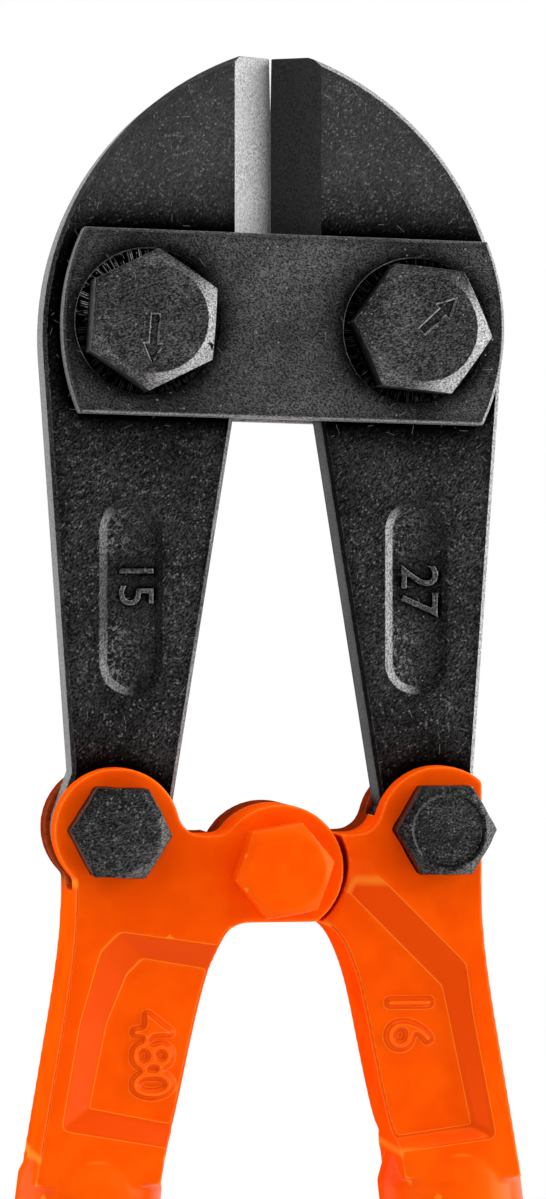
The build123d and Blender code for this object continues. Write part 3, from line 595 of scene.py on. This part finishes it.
# %% Ground steel beside the cutting edges
def ground(name, dark, light, metallic):
    """Steel ground at a slant, with fine strokes across the band."""
    material, tree, shader = finish_of(name, 0.42, metallic)
    strokes = use(tree, grain, {"Lean": 1.2, "Along": 2900.0, "Across": 4600.0, "Share": 0.6})
    cloud = use(tree, relief, {"Broad": 160.0, "Fine": 1300.0})["Height"]
    colour = tone(tree, ramp(tree, strokes["Height"], 0.4, 0.6), dark, light)
    colour = tone(tree, ramp(tree, cloud, 0.5, 0.95, 0.0, 0.6), colour, (dark + light) / 2)
    tree.links.new(colour, shader.inputs["Base Color"])
    bump(tree, shader, strokes["Height"], 0.00005)
    return material


ground_steel = ground("ground_steel", 0.19, 0.40, 0.9)
# A near-black copy of the same ground steel, for the right blade's band: painted shade
ground_steel_in_shade = ground("ground_steel_in_shade", 0.008, 0.03, 0.0)

# %% Orange enamel
ORANGE_DEEP = (0.93, 0.076, 0.0006)
ORANGE = (1.0, 0.096, 0.001)
# These colours are painted light: shade in corners, a highlight over rounded edges, shade on the panels'
# sloping walls, a highlight where they bend, and shade on the rear rims
ORANGE_CORNER_SHADE = (0.5, 0.022, 0.0004)
ORANGE_EDGE_HIGHLIGHT = (1.0, 0.2, 0.008)  # over rounded edges
ORANGE_WALL_SHADE = (0.82, 0.060, 0.0012)  # the panels' sloping walls
ORANGE_FOLD_HIGHLIGHT = (1.0, 0.28, 0.022)  # where those walls bend
REAR_SHADE_DARK = (0.05, 0.006, 0.002)
REAR_SHADE_LIGHT = (0.22, 0.02, 0.004)


def forging_light_and_shade(tree, colour, level, facing):
    """Painted light on a forging's enamel: highlights on edges and wall folds, shade on panel walls and
    rear rims.
    """
    # Painted highlight: a lighter line along every rounded edge
    bent = make(tree, "ShaderNodeNewGeometry").outputs["Pointiness"]
    colour = tone(tree, ramp(tree, bent, 0.522, 0.565), colour, ORANGE_EDGE_HIGHLIGHT)
    # Painted shade: the panels' sloping walls are a deeper red, between two lines of painted highlight
    # where they bend
    place = object_place(tree)
    panels = ramp(tree, distance_in_view(tree, place, PIVOT), 0.0105, 0.012)
    panels = times(tree, panels, ramp(tree, place["Z"], PIVOT.z - 0.0005, PIVOT.z - 0.003))
    panels = times(tree, panels, ramp(tree, place["Z"], PIVOT.z - 0.043, PIVOT.z - 0.041))
    steep = times(tree, ramp(tree, level, 0.978, 0.93), panels)
    wall_shade = times(tree, steep, ramp(tree, level, 0.70, 0.80))
    colour = tone(tree, wall_shade, colour, ORANGE_WALL_SHADE)
    fold_highlight = times(tree, steep, calc(tree, "SUBTRACT", 1.0, steep), 2.6)
    colour = tone(tree, fold_highlight, colour, ORANGE_FOLD_HIGHLIGHT)
    # Painted shade: the rims of the rear ears and the rear hub are dark red-brown, mottled
    rear = ramp(tree, place["Y"], PIVOT.y, PIVOT.y + 0.0015)
    upper = ramp(tree, place["Z"], PIVOT.z - 0.004, PIVOT.z - 0.001)
    rear_shade = times(tree, rear, upper, ramp(tree, facing["Y"], 0.7, 0.3))
    rear_mottle = use(tree, relief, {"Broad": 700.0, "Fine": 2600.0, "Fine Share": 0.8})["Height"]
    rear_shade_colour = tone(tree, ramp(tree, rear_mottle, 0.5, 1.1), REAR_SHADE_DARK, REAR_SHADE_LIGHT)
    return tone(tree, times(tree, rear_shade, 0.92), colour, rear_shade_colour)


def enamel(name, forged):
    """A thick coat of orange with painted shade in corners; a forging also gets painted highlights and
    shade on its edges, panel walls and rear rims.
    """
    material, tree, shader = finish_of(name, 0.25)
    cloud = use(tree, relief, {"Broad": 150.0, "Fine": 520.0, "Fine Share": 0.3})["Height"]
    colour = tone(tree, ramp(tree, cloud, 0.45, 0.85), ORANGE_DEEP, ORANGE)
    # Painted shade: the orange deepens in corners, by ambient occlusion
    shade = make(tree, "ShaderNodeAmbientOcclusion", {"Distance": 0.005}, samples=8).outputs["AO"]
    colour = tone(tree, ramp(tree, shade, 0.05, 0.45), ORANGE_CORNER_SHADE, colour)
    facing = surface_normal(tree)
    level = calc(tree, "ABSOLUTE", facing["Y"])
    if forged:
        colour = forging_light_and_shade(tree, colour, level, facing)
    tree.links.new(colour, shader.inputs["Base Color"])
    bump(tree, shader, cloud, 0.00012)
    # Enamel shines on the faces; its steep sides only mirror the floor and walls dully
    tree.links.new(ramp(tree, level, 0.15, 0.75, 0.0, 0.3), shader.inputs["Specular IOR Level"])
    shader.inputs["Specular Tint"].default_value = (1.0, 0.5, 0.04, 1)
    return material


orange = enamel("orange_enamel", True)
tube_orange = enamel("tube_enamel", False)

# %% Grip rubber
rubber, tree, shader = finish_of("grip_rubber", 0.62)
pores = use(tree, specks, {"Per Metre": 2600.0, "Size": 0.6, "Share": 0.8})["Mask"]
cloud = use(tree, relief, {"Broad": 90.0, "Fine": 900.0})["Height"]
tree.links.new(tone(tree, ramp(tree, cloud, 0.4, 1.0), 0.016, 0.03), shader.inputs["Base Color"])
bump(tree, shader, pores, 0.00003)
print("finishes", [m.name for m in bpy.data.materials])

# %% [markdown]
# ## From CAD solids to real edges
#
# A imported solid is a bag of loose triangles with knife-sharp edges. A copy is welded, its
# flat triangles are joined back into faces, and a Bevel modifier rounds each edge by a
# few tenths of a millimetre, because it is the rounded edge that catches the light.

# %% Copying a solid
def linked(name, mesh):
    """A new object in the scene."""
    piece = bpy.data.objects.new(name, mesh)
    bpy.context.scene.collection.objects.link(piece)
    return piece


def welded(node, name):
    """A welded copy of a CAD node's mesh, with flat triangles joined into faces."""
    source = nodes[node].data
    mesh = bpy.data.meshes.new(name)
    faces = [tuple(p.vertices) for p in source.polygons]
    mesh.from_pydata([v.co for v in source.vertices], [], faces)
    bm = bmesh.new()
    bm.from_mesh(mesh)
    bmesh.ops.remove_doubles(bm, verts=bm.verts, dist=2e-6)
    bmesh.ops.dissolve_limit(bm, angle_limit=radians(0.4), verts=bm.verts, edges=bm.edges)
    bm.to_mesh(mesh)
    bm.free()
    return linked(name, mesh)


def frozen(piece):
    """The piece with its modifiers turned into plain mesh."""
    depsgraph = bpy.context.evaluated_depsgraph_get()
    mesh = bpy.data.meshes.new_from_object(piece.evaluated_get(depsgraph))
    mesh.name = piece.name
    piece.modifiers.clear()
    piece.data = mesh
    return piece


def hard_piece(node, material, round_mm=0.2, segments=2, soft=None, soft_mm=0.6):
    """A machined piece: the CAD node's shape with rounded edges and a real finish.

    Edges whose middle passes the test called soft are rounded by soft_mm instead.
    """
    piece = welded(node, "dressed_" + node)
    bm = bmesh.new()
    bm.from_mesh(piece.data)
    weight = bm.edges.layers.float.new("bevel_weight_edge")
    widest = max(round_mm, soft_mm) if soft else round_mm
    for edge in bm.edges:
        if edge.calc_face_angle(0) < radians(24):
            continue
        middle = ((edge.verts[0].co + edge.verts[1].co) / 2 - PIVOT) / MM
        edge[weight] = (soft_mm if soft and soft(middle) else round_mm) / widest
    bm.to_mesh(piece.data)
    bm.free()
    for polygon in piece.data.polygons:
        polygon.use_smooth = True
    rounding = piece.modifiers.new("rounded edges", "BEVEL")
    rounding.width = widest * MM
    rounding.segments = segments
    rounding.limit_method = "WEIGHT"
    rounding.harden_normals = True
    frozen(piece)
    piece.data.materials.append(material)
    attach(piece, nodes[node]["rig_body"])
    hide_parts(node)
    print(piece.name, len(piece.data.polygons), "faces")
    return piece


# %% [markdown]
# ## Blades
#
# The two blades are forged arms with a ground head. Beside the cutting edge a band is
# ground at a slant on both faces. On the left blade that band stays bright; on the right
# blade it gets a near-black copy of the ground finish, as painted shade. The faces are
# picked out by their slant, which no other face of the blade has, and get the ground finish.

# %% Blades
def in_pocket(middle):
    """Whether a place belongs to a forged pocket's rim or floor."""
    return 15 < abs(middle.x) < 28 and 23 < middle.z < 57 and 2.9 < abs(middle.y) < 4.05


GROUND_FROM = 88  # mm above the pivot; below it no face is ground


def blade_piece(node, ground_finish):
    """A blade, its forged faces black and the slanted band beside its edge ground."""
    piece = hard_piece(node, forged_black, 0.22, 3, in_pocket, 0.62)
    piece.data.materials.append(ground_finish)
    count = 0
    for polygon in piece.data.polygons:
        slanted = 0.8 < abs(polygon.normal.y) < 0.93 and abs(polygon.normal.z) < 0.02
        if slanted and polygon.center.z > PIVOT.z + GROUND_FROM * MM:
            polygon.material_index = 1
            count += 1
    print("ground faces", count)


blade_piece("left_blade", ground_steel)
blade_piece("right_blade", ground_steel_in_shade)

# %% [markdown]
# ## Raised figures in the forged pockets
#
# Forging dies leave raised figures in the pockets of the arms. They are plain numbers
# here. Text gives the outlines; a voxel remesh and some smoothing melt it into the soft,
# blunt shape of hot metal pressed into a die.

# %% Figures
def figures(name, text, height, depth, place, turn, voxel):
    """Raised figures on a front face: place in mm from the pivot, turn in degrees."""
    curve = bpy.data.curves.new(name, "FONT")
    curve.body = text
    curve.size = height * 1.42 * MM
    curve.align_x = "CENTER"
    curve.align_y = "CENTER"
    curve.extrude = depth * MM
    curve.offset = 0.03 * MM
    lettering = linked(name, curve)
    depsgraph = bpy.context.evaluated_depsgraph_get()
    mesh = bpy.data.meshes.new_from_object(lettering.evaluated_get(depsgraph))
    bpy.data.objects.remove(lettering)
    upright = Matrix.Rotation(pi / 2, 4, "X")
    spun = Matrix.Rotation(radians(turn), 4, "Y")
    mesh.transform(Matrix.Translation(at(*place)) @ spun @ upright)
    bm = bmesh.new()
    bm.from_mesh(mesh)
    bmesh.ops.remove_doubles(bm, verts=bm.verts, dist=1e-7)
    bmesh.ops.recalc_face_normals(bm, faces=bm.faces)
    bm.to_mesh(mesh)
    bm.free()
    mesh.name = name
    piece = linked(name, mesh)
    if voxel:
        soften(piece, voxel, 4)
    return piece


def soften(piece, voxel, rounds):
    """A voxel remesh and a smoothing: what heat, dies and thick paint do to an edge."""
    remesh = piece.modifiers.new("remesh", "REMESH")
    remesh.mode = "VOXEL"
    remesh.voxel_size = voxel * MM
    remesh.use_smooth_shade = True
    if rounds:
        relax = piece.modifiers.new("relax", "SMOOTH")
        relax.factor = 0.5
        relax.iterations = rounds
    return frozen(piece)


def forged_mark(name, text, height, depth, place, turn, body):
    """Raised figures that ride on a body, in a paler copy of the blackened steel as a painted highlight.
    """
    piece = figures(name, text, height, depth, place, turn, 0.12)
    piece.data.materials.append(lit_figure_black)
    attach(piece, body)
    print(name, len(piece.data.polygons), "faces")


forged_mark("left_pocket_figures", "15", 5.2, 0.5, (-20.9, -3.2, 42.0), 90, "left_blade")
forged_mark("right_pocket_figures", "27", 5.6, 0.5, (21.6, -3.2, 41.0), 90, "right_blade")

# %% [markdown]
# ## Plates and bolts
#
# Both side plates, the eccentric bolts with their arrows, and all nuts are machined, so
# they keep their CAD shape and only gain rounded, worn edges.

# %% Machined pieces
for node in ("front_side_plate", "rear_side_plate"):
    hard_piece(node, plate_black, 0.18)
for node in ("left_eccentric_bolt", "right_eccentric_bolt", "left_plate_nut", "right_plate_nut"):
    hard_piece(node, bolt_black, 0.16)
for node in ("left_link_nut", "right_link_nut", "left_spring_washer", "right_spring_washer"):
    hard_piece(node, bolt_black, 0.14)
for node in ("left_tube_rivet", "right_tube_rivet"):
    hard_piece(node, tube_orange, 0.3, 3)

# %% [markdown]
# ## Forged bolt heads
#
# The link bolts were headed hot and never machined on top. Their heads are remeshed finely
# and every point is pushed in or out by a noise, most on the top and least at the foot.

# %% Link bolts
FITTING_FACE = 9.1  # mm from the pivot to the fittings' front and rear faces


def forged_bolt(node, seed):
    """A bolt with a dented head; another seed gives other dents."""
    piece = welded(node, "dressed_" + node)
    soften(piece, 0.17, 3)
    top = min(v.co.y for v in piece.data.vertices)
    foot = PIVOT.y - FITTING_FACE * MM
    for vertex in piece.data.vertices:
        if vertex.co.y > foot:
            continue
        share = (foot - vertex.co.y) / (foot - top)
        spot = vertex.co / MM + Vector((seed, 0, 0))
        dent = noise.noise(spot * 0.45) * 0.16 + noise.noise(spot * 1.1) * 0.09
        vertex.co.y -= dent * share * MM
        vertex.co.x += noise.noise(spot * 0.5 + Vector((9, 0, 0))) * 0.10 * MM
        vertex.co.z += noise.noise(spot * 0.5 + Vector((0, 9, 0))) * 0.10 * MM
    piece.data.materials.append(rough_black)
    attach(piece, nodes[node]["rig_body"])
    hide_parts(node)
    print(piece.name, len(piece.data.polygons), "faces")


forged_bolt("left_link_bolt", 3.0)
forged_bolt("right_link_bolt", 31.0)

# %% [markdown]
# ## Orange handle fittings
#
# The fittings are forgings under a thick coat of enamel that fills every corner. The CAD
# solid and the raised numbers in its panel are remeshed as one and smoothed, so that the
# paint runs from one over the other.

# %% Fittings
LINK_ASIDE, LINK_UP = 24.1, 5.7  # mm from the centre pivot to the link bolts' axes


def painted(node, marks, voxel, rounds, edge_round=0.0):
    """A forging with its marks, all under one coat of paint.

    Its outer edges are rounded by edge_round first, except round the bolts.
    """
    piece = welded(node, "dressed_" + node)
    bm = bmesh.new()
    bm.from_mesh(piece.data)
    for mark in marks:
        bm.from_mesh(mark.data)
        bpy.data.objects.remove(mark)
    weight = bm.edges.layers.float.new("bevel_weight_edge")
    for edge in bm.edges:
        if edge.calc_face_angle(0) < radians(60):
            continue
        a, b = ((v.co - PIVOT) / MM for v in edge.verts)
        on_faces = all(abs(abs(end.y) - FITTING_FACE) < 0.1 for end in (a, b))
        middle = (a + b) / 2
        from_link = Vector((abs(middle.x) - LINK_ASIDE, middle.z - LINK_UP)).length
        from_pivot = Vector((middle.x, middle.z)).length
        if on_faces and from_link > 6 and from_pivot > 8:
            edge[weight] = 1.0 if middle.z < -1 and from_pivot > 11 else 0.4
    bm.to_mesh(piece.data)
    bm.free()
    rounding = piece.modifiers.new("rounded edges", "BEVEL")
    rounding.width = edge_round * MM
    rounding.segments = 4
    rounding.limit_method = "WEIGHT"
    frozen(piece)
    soften(piece, voxel, rounds)
    piece.data.materials.append(orange)
    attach(piece, nodes[node]["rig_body"])
    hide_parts(node)
    print(piece.name, len(piece.data.polygons), "faces")


PANEL_FLOOR = -6.7  # mm from the pivot's middle plane to the panels' floors
left_mark = figures("left_mark", "480", 6.0, 0.8, (-19.1, PANEL_FLOOR, -27.2), 90, 0)
right_mark = figures("right_mark", "16", 6.8, 0.8, (19.3, PANEL_FLOOR, -22.4), 90, 0)
painted("left_handle_fitting", [left_mark], 0.36, 5, 2.2)
painted("right_handle_fitting", [right_mark], 0.36, 5, 2.2)
painted("centre_pivot_bolt", [], 0.22, 5)
painted("centre_pivot_washer", [], 0.22, 3)
painted("centre_pivot_nut", [], 0.22, 4)

# %% [markdown]
# ## Things that repeat, grown with Geometry Nodes
#
# The lock rings' teeth, the thread turns on the bolt ends and the ribs of the grips are
# each one small shape repeated many times. One tree grows each kind from a few named
# numbers. The result is turned into a plain mesh and laid in its place.

# %% Starting a tree that grows something
def growth(name, inputs):
    """A Geometry Nodes tree with named number inputs and a finish, and its two ends."""
    tree = bpy.data.node_groups.new(name, "GeometryNodeTree")
    tree.interface.new_socket("Geometry", in_out="OUTPUT", socket_type="NodeSocketGeometry")
    tree.interface.new_socket("Finish", in_out="INPUT", socket_type="NodeSocketMaterial")
    for label, default in inputs.items():
        kind = "NodeSocketInt" if isinstance(default, int) else "NodeSocketFloat"
        socket = tree.interface.new_socket(label, in_out="INPUT", socket_type=kind)
        socket.default_value = default
    start = make(tree, "NodeGroupInput").outputs
    end = make(tree, "NodeGroupOutput").inputs
    return tree, start, end


def finished(tree, geometry, start, end):
    """Realize Instances and Set Material, the end of every such tree."""
    real = make(tree, "GeometryNodeRealizeInstances", {0: geometry})
    inputs = {"Geometry": real.outputs[0], "Material": start["Finish"]}
    made = make(tree, "GeometryNodeSetMaterial", inputs)
    tree.links.new(made.outputs[0], end["Geometry"])


def grown(name, tree, finish, values, place, body):
    """What a tree grows from these values, as a plain mesh laid in its place."""
    piece = linked(name, bpy.data.meshes.new(name))
    modifier = piece.modifiers.new("growth", "NODES")
    modifier.node_group = tree
    for item in tree.interface.items_tree:
        if item.name == "Finish":
            modifier[item.identifier] = finish
        elif item.in_out == "INPUT" and item.name in values:
            modifier[item.identifier] = values[item.name]
    frozen(piece)
    piece.data.transform(place)
    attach(piece, body)
    print(name, len(piece.data.polygons), "faces")
    return piece


def swept(tree, curve, profile):
    """A closed profile carried along a curve, with its ends filled."""
    inputs = {"Curve": curve, "Profile Curve": profile, "Fill Caps": True}
    return make(tree, "GeometryNodeCurveToMesh", inputs).outputs[0]


def moved(tree, geometry, label, value):
    """Geometry with one value of its Transform set: a Translation or a Rotation."""
    return make(tree, "GeometryNodeTransform", {"Geometry": geometry, label: value}).outputs[0]


# %% Lock ring: a flat band with radial teeth, its face towards +Z
lock_ring, start, end = growth(
    "lock ring", {"Teeth": 48, "Inner": 0.00846, "Outer": 0.0107, "Thick": 0.0007, "Tooth": 0.0005}
)
middle = times(lock_ring, calc(lock_ring, "ADD", start["Inner"], start["Outer"]), 0.5)
width = calc(lock_ring, "SUBTRACT", start["Outer"], start["Inner"])
circle = make(
    lock_ring, "GeometryNodeCurvePrimitiveCircle", {"Resolution": 96, "Radius": middle}
).outputs[0]
section = make(
    lock_ring, "GeometryNodeCurvePrimitiveQuadrilateral", {"Width": width, "Height": start["Thick"]}
)
band = swept(lock_ring, circle, section.outputs[0])
prism = make(
    lock_ring, "GeometryNodeMeshCylinder", {"Vertices": 3, "Radius": start["Tooth"], "Depth": width}
)
upright = moved(lock_ring, prism.outputs[0], "Rotation", (0, -pi / 2, 0))
spots = make(lock_ring, "GeometryNodeMeshCircle", {"Vertices": start["Teeth"], "Radius": middle})
outwards = make(
    lock_ring,
    "FunctionNodeAlignRotationToVector",
    {"Vector": make(lock_ring, "GeometryNodeInputPosition").outputs[0]},
    axis="X",
    pivot_axis="Z",
)
teeth = make(
    lock_ring,
    "GeometryNodeInstanceOnPoints",
    {"Points": spots.outputs[0], "Instance": upright, "Rotation": outwards.outputs[0]},
)
rise = make(lock_ring, "ShaderNodeCombineXYZ", {2: times(lock_ring, start["Thick"], 0.5)})
teeth = moved(lock_ring, teeth.outputs[0], "Translation", rise.outputs[0])
both = make(lock_ring, "GeometryNodeJoinGeometry")
for part in (band, teeth):
    lock_ring.links.new(part, both.inputs[0])
finished(lock_ring, both.outputs[0], start, end)

FRONTWARDS = Matrix.Rotation(pi / 2, 4, "X")
BACKWARDS = Matrix.Rotation(-pi / 2, 4, "X")
RING_SUNK = 0.95 * MM  # how far behind the ring's front its band's middle lies
for node in ("left_serrated_ring", "right_serrated_ring"):
    low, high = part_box(node)
    spot = Vector(((low.x + high.x) / 2, low.y + RING_SUNK, (low.z + high.z) / 2))
    place = Matrix.Translation(spot) @ FRONTWARDS
    ring = grown("grown_" + node, lock_ring, ring_black_in_shade, {}, place, "side_plates")
    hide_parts(node)

# %% Thread: one ridge wound round a bolt's end
thread, start, end = growth("thread", {"Radius": 0.004, "Pitch": 0.00125, "Turns": 1.0, "Ridge": 0.00032})
winding = make(
    thread,
    "GeometryNodeCurveSpiral",
    {
        "Resolution": 40,
        "Rotations": start["Turns"],
        "Start Radius": start["Radius"],
        "End Radius": start["Radius"],
        "Height": times(thread, start["Turns"], start["Pitch"]),
    },
)
ridge = make(thread, "GeometryNodeCurvePrimitiveCircle", {"Resolution": 4, "Radius": start["Ridge"]})
finished(thread, swept(thread, winding.outputs[0], ridge.outputs[0]), start, end)

THREAD_IN = 0.2 * MM  # the first turn starts this far inside the nut
THREAD_RADIUS = 3.8 * MM  # of an M8 end; the plate's bolts are wider
ENDS = [
    ("left_link_bolt", "left_link_nut", bolt_black, 0.0, "black_fastener"),
    ("right_link_bolt", "right_link_nut", bolt_black, 0.0, "black_fastener"),
    ("centre_pivot_bolt", "centre_pivot_nut", orange, 0.0, "orange_paint"),
    ("left_eccentric_bolt", "left_plate_nut", bolt_black, 0.002, "black_fastener"),
    ("right_eccentric_bolt", "right_plate_nut", bolt_black, 0.002, "black_fastener"),
]
for node, nut, finish, wider, slot in ENDS:
    low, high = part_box(nut)
    spot = Vector(((low.x + high.x) / 2, high.y - THREAD_IN, (low.z + high.z) / 2))
    values = {"Radius": THREAD_RADIUS + wider, "Pitch": 0.00125, "Turns": 0.9}
    place = Matrix.Translation(spot) @ BACKWARDS
    grown("thread_of_" + node, thread, finish, values, place, nodes[node]["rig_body"])

# %% Grip ribs: soft rings along the sleeve, from its flange towards its end
ribs, start, end = growth("grip ribs", {"Ribs": 14, "Apart": 0.0042, "Radius": 0.0122, "Rib": 0.0009})
hoop = make(ribs, "GeometryNodeCurvePrimitiveCircle", {"Resolution": 64, "Radius": start["Radius"]})
bead = make(ribs, "GeometryNodeCurvePrimitiveCircle", {"Resolution": 10, "Radius": start["Rib"]})
rib = swept(ribs, hoop.outputs[0], bead.outputs[0])
step = make(ribs, "ShaderNodeCombineXYZ", {2: times(ribs, start["Apart"], -1.0)})
line = make(ribs, "GeometryNodeMeshLine", {"Count": start["Ribs"], "Offset": step.outputs[0]})
rows = make(ribs, "GeometryNodeInstanceOnPoints", {"Points": line.outputs[0], "Instance": rib})
finished(ribs, rows.outputs[0], start, end)

HANDLE_TILT = radians(7)
FIRST_RIB = 30.0 * MM  # along the sleeve, from its inner upper corner
TO_AXIS = 13.9 * MM  # across the sleeve, from that corner
for side, node in ((-1, "left_grip"), (1, "right_grip")):
    hard_piece(node, rubber, 0.5, 3)
    low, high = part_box(node)
    top_x = high.x if side < 0 else low.x
    tilt = Matrix.Rotation(-side * HANDLE_TILT, 4, "Y")
    down = Vector((side * sin(HANDLE_TILT), 0, -cos(HANDLE_TILT)))
    out = Vector((side * cos(HANDLE_TILT), 0, sin(HANDLE_TILT)))
    spot = Vector((top_x, 0, high.z)) + down * FIRST_RIB + out * TO_AXIS
    spot.y = PIVOT.y
    place = Matrix.Translation(spot) @ tilt
    grown("ribs_of_" + node, ribs, rubber, {}, place, nodes[node]["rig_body"])

# %% Tubes keep their CAD shape
for node in ("left_handle_tube", "right_handle_tube"):
    nodes[node].data.materials.clear()
    nodes[node].data.materials.append(tube_orange)

# %% [markdown]
# ## Closing
#
# The sizes of the box of the visible pieces and of the CAD box are printed, one above the
# other: paint and rounding should not change the tool's size.

# %% Sizes and finish
seen_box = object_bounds()
for label, low, high in (("cad", *cad_box), ("seen", *seen_box)):
    print(label, [round((b - a) / MM, 2) for a, b in zip(low, high)])
bpy.context.scene.view_settings.view_transform = "Standard"
